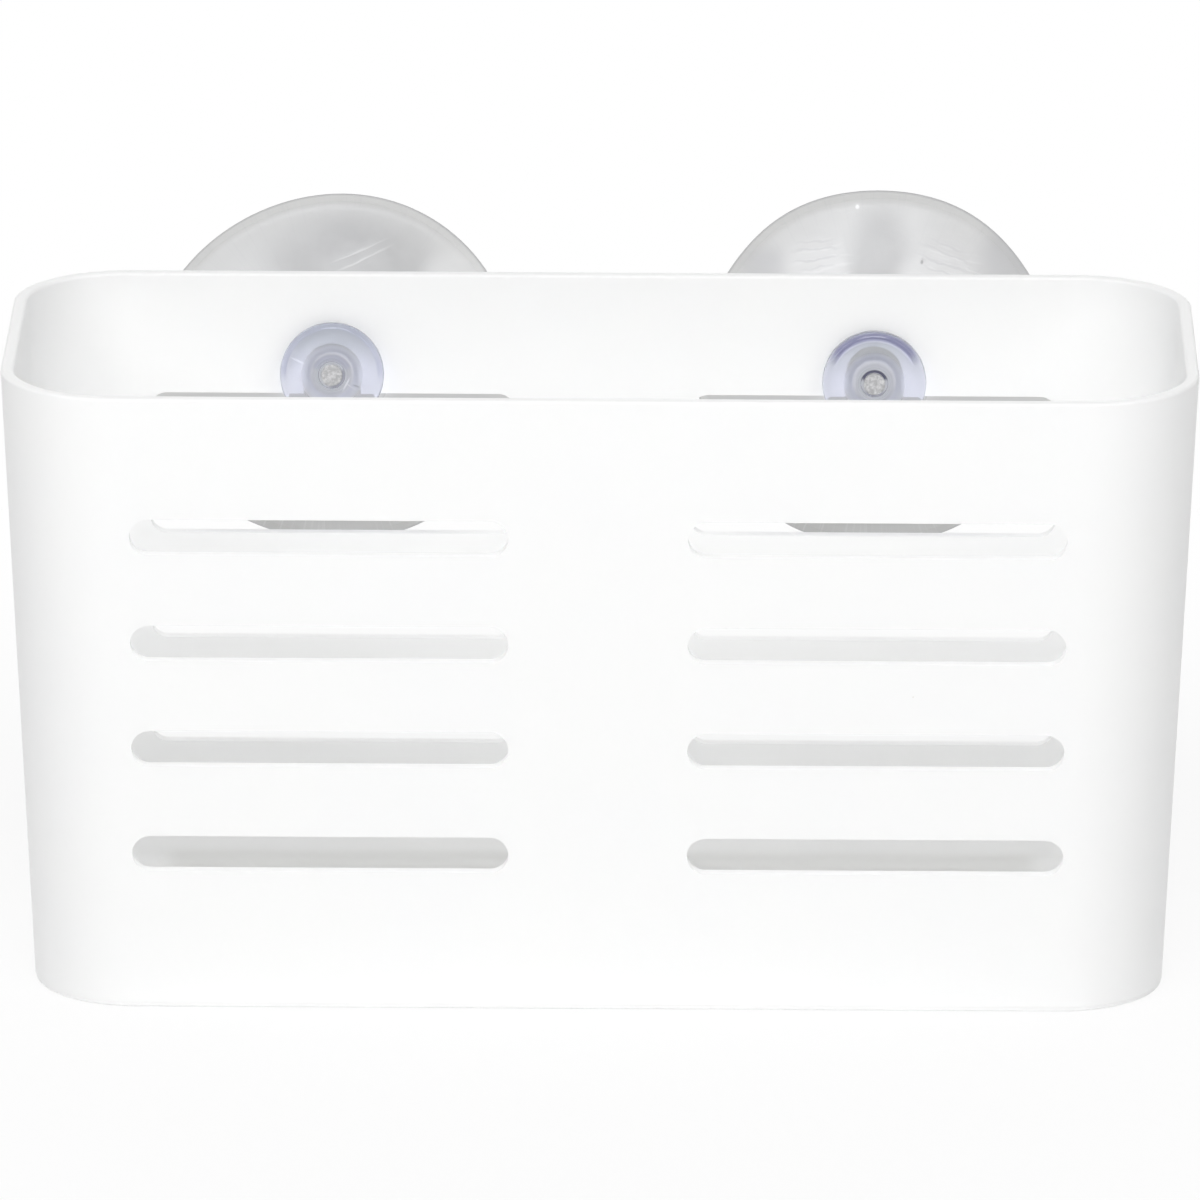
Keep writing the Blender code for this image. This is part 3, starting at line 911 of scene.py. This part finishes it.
def round_ended_holes_tree():
    """Cuts a grid of round-ended holes through a solid. It lies flat, and is turned and moved to its place."""
    tree = bpy.data.node_groups.new("round_ended_holes", "GeometryNodeTree")
    tree.interface.new_socket("Geometry", in_out="INPUT", socket_type="NodeSocketGeometry")
    sizes = ("Length", "Width", "Column Spacing", "Row Pitch", "Depth")
    for name in sizes:
        tree.interface.new_socket(name, in_out="INPUT", socket_type="NodeSocketFloat")
    for name in ("Columns", "Rows", "End Steps"):
        tree.interface.new_socket(name, in_out="INPUT", socket_type="NodeSocketInt")
    for name in ("Centre", "Turn"):
        tree.interface.new_socket(name, in_out="INPUT", socket_type="NodeSocketVector")
    tree.interface.new_socket("Material", in_out="INPUT", socket_type="NodeSocketMaterial")
    tree.interface.new_socket("Geometry", in_out="OUTPUT", socket_type="NodeSocketGeometry")
    given = tree.nodes.new("NodeGroupInput").outputs

    outline = add_node(
        tree, "GeometryNodeCurvePrimitiveQuadrilateral", {"Width": given["Length"], "Height": given["Width"]}
    )
    radius = worked(tree, "MULTIPLY", worked(tree, "MINIMUM", given["Length"], given["Width"]), NEARLY_HALF)
    rounded = add_node(
        tree,
        "GeometryNodeFilletCurve",
        {"Curve": outline.outputs[0], "Count": given["End Steps"], "Radius": radius},
        mode="POLY",
    )
    face = add_node(tree, "GeometryNodeFillCurve", {"Curve": rounded.outputs[0]}, mode="NGONS")
    down = add_node(tree, "ShaderNodeCombineXYZ", {"Z": worked(tree, "MULTIPLY", given["Depth"], -0.5)})
    near_end = add_node(
        tree, "GeometryNodeTransform", {"Geometry": face.outputs[0], "Translation": down.outputs[0]}
    )
    travel = add_node(tree, "ShaderNodeCombineXYZ", {"Z": 1.0})
    walls = add_node(
        tree,
        "GeometryNodeExtrudeMesh",
        {
            "Mesh": near_end.outputs[0],
            "Offset": travel.outputs[0],
            "Offset Scale": given["Depth"],
            "Individual": False,
        },
        mode="FACES",
    )
    far_end = add_node(tree, "GeometryNodeFlipFaces", {"Mesh": near_end.outputs[0]})
    closed = add_node(tree, "GeometryNodeJoinGeometry")
    tree.links.new(walls.outputs["Mesh"], closed.inputs[0])
    tree.links.new(far_end.outputs[0], closed.inputs[0])
    cutter = add_node(
        tree, "GeometryNodeMergeByDistance", {"Geometry": closed.outputs[0], "Distance": WELD_DISTANCE}
    )

    width = worked(tree, "MULTIPLY", worked(tree, "ADD", given["Columns"], -1.0), given["Column Spacing"])
    depth = worked(tree, "MULTIPLY", worked(tree, "ADD", given["Rows"], -1.0), given["Row Pitch"])
    places = add_node(
        tree,
        "GeometryNodeMeshGrid",
        {
            "Size X": width,
            "Size Y": depth,
            "Vertices X": given["Columns"],
            "Vertices Y": given["Rows"],
        },
    )
    copies = add_node(
        tree, "GeometryNodeInstanceOnPoints", {"Points": places.outputs[0], "Instance": cutter.outputs[0]}
    )
    placed = add_node(
        tree,
        "GeometryNodeTransform",
        {"Geometry": copies.outputs[0], "Translation": given["Centre"], "Rotation": given["Turn"]},
    )
    cutters = add_node(tree, "GeometryNodeRealizeInstances", {"Geometry": placed.outputs[0]})
    cut = add_node(tree, "GeometryNodeMeshBoolean", operation="DIFFERENCE", solver="EXACT")
    tree.links.new(given["Geometry"], cut.inputs["Mesh 1"])
    tree.links.new(cutters.outputs[0], cut.inputs["Mesh 2"])
    real = add_node(tree, "GeometryNodeRealizeInstances", {"Geometry": cut.outputs[0]})
    dressed = add_node(
        tree, "GeometryNodeSetMaterial", {"Geometry": real.outputs[0], "Material": given["Material"]}
    )
    end = tree.nodes.new("NodeGroupOutput")
    tree.links.new(dressed.outputs[0], end.inputs[0])
    return tree


def add_tree(thing, name, tree, values):
    """Puts a tree of geometry nodes on an object. Inputs are set by their sockets' identifiers."""
    modifier = thing.modifiers.new(name, "NODES")
    modifier.node_group = tree
    for item in tree.interface.items_tree:
        if item.item_type == "SOCKET" and item.in_out == "INPUT" and item.name in values:
            modifier[item.identifier] = values[item.name]


def plain_mesh(thing, name):
    """The object as its modifiers leave it, as a new object with a plain mesh. The old one is removed."""
    evaluated = thing.evaluated_get(bpy.context.evaluated_depsgraph_get())
    mesh = bpy.data.meshes.new_from_object(evaluated)
    mesh.name = name
    bpy.data.objects.remove(thing)
    return link(bpy.data.objects.new(name, mesh))


def make_tub(material):
    shell = tub_shell()
    tree = round_ended_holes_tree()
    across = tub_high.y - tub_low.y
    upright = (math.pi / 2, 0, 0)
    row_middle = TOP_SLOT_EDGE - SLOT_WIDTH / 2 - SLOT_PITCH * (SLOT_ROWS - 1) / 2
    shared = {
        "Columns": SLOT_COLUMNS,
        "Column Spacing": COLUMN_SPACING,
        "End Steps": SLOT_END_STEPS,
        "Material": material,
    }
    wall_slots = {
        "Length": SLOT_LENGTH,
        "Width": SLOT_WIDTH,
        "Rows": SLOT_ROWS,
        "Row Pitch": SLOT_PITCH,
        "Depth": across + 2 * CUT_OVERRUN,
        "Centre": (0, 0, row_middle),
        "Turn": upright,
    }
    notches = {
        "Length": NOTCH_WIDTH,
        "Width": NOTCH_TOP - NOTCH_FOOT,
        "Rows": 1,
        "Depth": across / 2 + CUT_OVERRUN,
        "Centre": (0, (across / 2 + CUT_OVERRUN) / 2, (NOTCH_TOP + NOTCH_FOOT) / 2),
        "Turn": upright,
    }
    drains = {
        "Length": SLOT_LENGTH,
        "Width": SLOT_WIDTH,
        "Rows": DRAIN_ROWS,
        "Row Pitch": DRAIN_PITCH,
        "Depth": FLOOR + 2 * CUT_OVERRUN,
        "Centre": (0, 0, FLOOR / 2),
        "Turn": (0, 0, 0),
    }
    for name, values in (("wall_slots", wall_slots), ("notches", notches), ("drains", drains)):
        add_tree(shell, name, tree, {**shared, **values})
    softened = shell.modifiers.new("cut_edges", "BEVEL")
    softened.width = CUT_EDGE_RADIUS
    softened.segments = CUT_EDGE_STEPS
    softened.limit_method = "ANGLE"
    softened.angle_limit = SOFTENED_ANGLE
    shaded = shell.modifiers.new("flat_walls", "WEIGHTED_NORMAL")
    shaded.keep_sharp = True
    for face in shell.data.polygons:
        face.use_smooth = True
    tub = plain_mesh(shell, "white_tub")
    for face in tub.data.polygons:
        face.use_smooth = True
    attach(tub, "basket")
    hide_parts("basket")
    return tub


# The suction cups


def cap_radius(edge_radius, rise):
    """Radius of the sphere whose cap has this edge radius and rise."""
    return (edge_radius**2 + rise**2) / (2 * rise)


def cap_sag(sphere_radius, distance):
    """How far a sphere falls back from its top at this distance from its axis."""
    return sphere_radius - math.sqrt(sphere_radius**2 - distance**2)


def arc(centre_along, centre_radius, radius, start, stop, steps):
    """Points of an arc. The angle is 0 away from the axis and a right angle towards the bell."""
    points = []
    for step in range(steps + 1):
        angle = start + (stop - start) * step / steps
        points.append((centre_along + radius * math.sin(angle), centre_radius + radius * math.cos(angle)))
    return points


dome_radius = BELL_RADIUS - LIP_WIDTH
dome_rise = BELL_DEPTH - LIP_THICKNESS
dome_sphere = cap_radius(dome_radius, dome_rise)


def head_front():
    """The head's front face and side, from the dimple's edge outwards. The head's back is at zero."""
    face = -HEAD_THICKNESS
    points = [(face, DIMPLE_RADIUS + DIMPLE_EDGE), (face, (DIMPLE_RADIUS + HEAD_RADIUS) / 2)]
    for angle in quarter(EDGE_STEPS + 4):
        along = face + HEAD_BEVEL_DEPTH * (1 - math.cos(angle))
        points.append((along, HEAD_RADIUS - HEAD_BEVEL_WIDTH * (1 - math.sin(angle))))
    for angle in quarter(EDGE_STEPS):
        along = HEAD_BACK_RADIUS * (math.sin(angle) - 1)
        points.append((along, HEAD_RADIUS - HEAD_BACK_RADIUS * (1 - math.cos(angle))))
    return points


def neck():
    """From the head's back along the neck and out to the dome."""
    shoulder = NECK_RADIUS + SHOULDER_FILLET
    swell = SHOULDER_FILLET + cap_sag(dome_sphere, shoulder)
    points = []
    for angle in quarter(EDGE_STEPS):
        radius = NECK_RADIUS + NECK_FILLET * (1 - math.sin(angle))
        points.append((NECK_FILLET * (1 - math.cos(angle)), radius))
    for angle in quarter(EDGE_STEPS + 4):
        along = NECK_LENGTH - SHOULDER_FILLET + swell * math.sin(angle)
        points.append((along, shoulder - SHOULDER_FILLET * math.cos(angle)))
    return points


def bell():
    """Over the dome, round the lip and back to the middle of the hollow."""
    shoulder = NECK_RADIUS + SHOULDER_FILLET
    mouth = NECK_LENGTH + BELL_DEPTH
    points = []
    for step in range(1, DOME_STEPS + 1):
        radius = shoulder + (dome_radius - shoulder) * step / DOME_STEPS
        points.append((NECK_LENGTH + cap_sag(dome_sphere, radius), radius))
    edge = BELL_RADIUS - LIP_EDGE_RADIUS
    points += arc(mouth - LIP_THICKNESS + LIP_EDGE_RADIUS, edge, LIP_EDGE_RADIUS, -math.pi / 2, 0, EDGE_STEPS)
    points += arc(mouth - LIP_EDGE_RADIUS, edge, LIP_EDGE_RADIUS, 0, math.pi / 2, EDGE_STEPS)
    hollow_edge = dome_radius - LIP_THICKNESS
    points.append((mouth, dome_radius))
    hollow_sphere = cap_radius(hollow_edge, BELL_DEPTH - BELL_CENTRE_WALL)
    for step in range(DOME_STEPS, 0, -1):
        radius = hollow_edge * step / DOME_STEPS
        points.append((NECK_LENGTH + BELL_CENTRE_WALL + cap_sag(hollow_sphere, radius), radius))
    return points


def dimple():
    """The gap round the stub, from the stub's foot to the head's face."""
    face = -HEAD_THICKNESS
    return [
        (face + DIMPLE_DEPTH, NUB_RADIUS),
        (face + DIMPLE_DEPTH, DIMPLE_RADIUS),
        (face + DIMPLE_EDGE, DIMPLE_RADIUS),
    ]


def stub():
    """The stub's side, from its end down to the gap's floor."""
    end = -HEAD_THICKNESS - NUB_PROUD
    points = [(end, 0.4 * NUB_RADIUS), (end, 0.75 * NUB_RADIUS)]
    for angle in quarter(NUB_CHAMFER_STEPS):
        along = end + NUB_CHAMFER * (1 - math.cos(angle))
        points.append((along, NUB_RADIUS - NUB_CHAMFER * (1 - math.sin(angle))))
    return points


CLEAR_SLOT, TORN_SLOT = 0, 1


def out_of_round(flex, angle):
    """The share of its radius that the loose lip keeps at this angle from the right towards the top."""
    share = 1
    for times, (cosine, sine) in flex["waves"].items():
        share += cosine * math.cos(times * angle) + sine * math.sin(times * angle)
    return share


def turned_cup(flex):
    """A cup about the Y axis, the head's back at zero. Each point keeps its place in the unflexed cup too."""
    parts = ((stub(), TORN_SLOT), (dimple() + head_front() + neck() + bell(), CLEAR_SLOT))
    profile = [(along, radius, slot) for points, slot in parts for along, radius in points]
    shape = bmesh.new()
    true_place = shape.verts.layers.float_vector.new(TRUE_PLACE)

    def add_point(along, radius, angle):
        sagged = min(1, max(0, (along - NECK_LENGTH) / dome_rise))
        across, up = math.cos(angle), math.sin(angle)
        loose = radius * (1 + sagged * (out_of_round(flex, angle) - 1))
        shift = [sagged * part for part in flex["shift"]]
        point = shape.verts.new((loose * across + shift[0], along, loose * up + shift[1]))
        point[true_place] = Vector((radius * across, along, radius * up))
        return point

    rings = []
    for along, radius, _ in profile:
        rings.append([add_point(along, radius, math.tau * step / TURN_STEPS) for step in range(TURN_STEPS)])
    start = add_point(profile[0][0], 0, 0)
    finish = add_point(NECK_LENGTH + BELL_CENTRE_WALL, 0, 0)
    for here in range(TURN_STEPS):
        after = (here + 1) % TURN_STEPS
        shape.faces.new((start, rings[0][after], rings[0][here])).material_index = TORN_SLOT
        for place, (near, far) in enumerate(zip(rings, rings[1:])):
            face = shape.faces.new((near[here], near[after], far[after], far[here]))
            face.material_index = profile[place][2]
        shape.faces.new((finish, rings[-1][here], rings[-1][after])).material_index = CLEAR_SLOT
    bmesh.ops.recalc_face_normals(shape, faces=shape.faces)
    return shape


def make_cup(side, body, clear, gate_end):
    """One suction cup, placed by its joint and by the mount on its lip."""
    joint = next(j for j in frame["joints"] if j["child"] == body)
    lip = next(m for m in frame["record"]["mounts"] if m["name"] == side + "_cup_lip")
    pivot = Vector(joint["pos_m"])
    axis = Vector(lip["axis"]).normalized()
    droop = math.atan2(-axis.z, axis.y)
    mouth_along = (Vector(lip["pos_m"]) - pivot).dot(axis)
    head_back = pivot + axis * (mouth_along - NECK_LENGTH - BELL_DEPTH)
    shape = turned_cup(FLEX[side])
    place = Matrix.Translation(head_back) @ Matrix.Rotation(-droop, 4, "X")
    bmesh.ops.transform(shape, matrix=place, verts=shape.verts)
    mesh = bpy.data.meshes.new(side + "_cup")
    shape.to_mesh(mesh)
    shape.free()
    mesh.shade_smooth()
    mesh.set_sharp_from_angle(angle=SMOOTH_ANGLE)
    mesh.materials.append(clear)
    mesh.materials.append(gate_end)
    cup = link(bpy.data.objects.new(side + "_clear_cup", mesh))
    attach(cup, body)
    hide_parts(body)
    return cup


# The scene

make_camera()
make_world()
make_floor()
for lamp_name, (lamp_place, lamp_radiance) in LAMPS.items():
    softbox(lamp_name, lamp_place, lamp_radiance)
bpy.context.scene.view_settings.view_transform = "Standard"
# Light bounces many times between the white walls before it comes out
bpy.context.scene.cycles.diffuse_bounces = 10

groups = {
    "mottle": make_mottle_group(),
    "grain": make_grain_group(),
    "specks": make_speck_group(),
    "streaks": make_streak_group(),
    "arc_mark": make_arc_group(),
    "spun_lines": make_spun_group(),
}
gate_end = torn_end(groups)
make_tub(white_polypropylene(groups))
make_cup("left", "suction_cup_left", clear_pvc("left_clear_pvc", groups, LEFT_MARKS), gate_end)
make_cup("right", "suction_cup_right", clear_pvc("right_clear_pvc", groups, RIGHT_MARKS), gate_end)
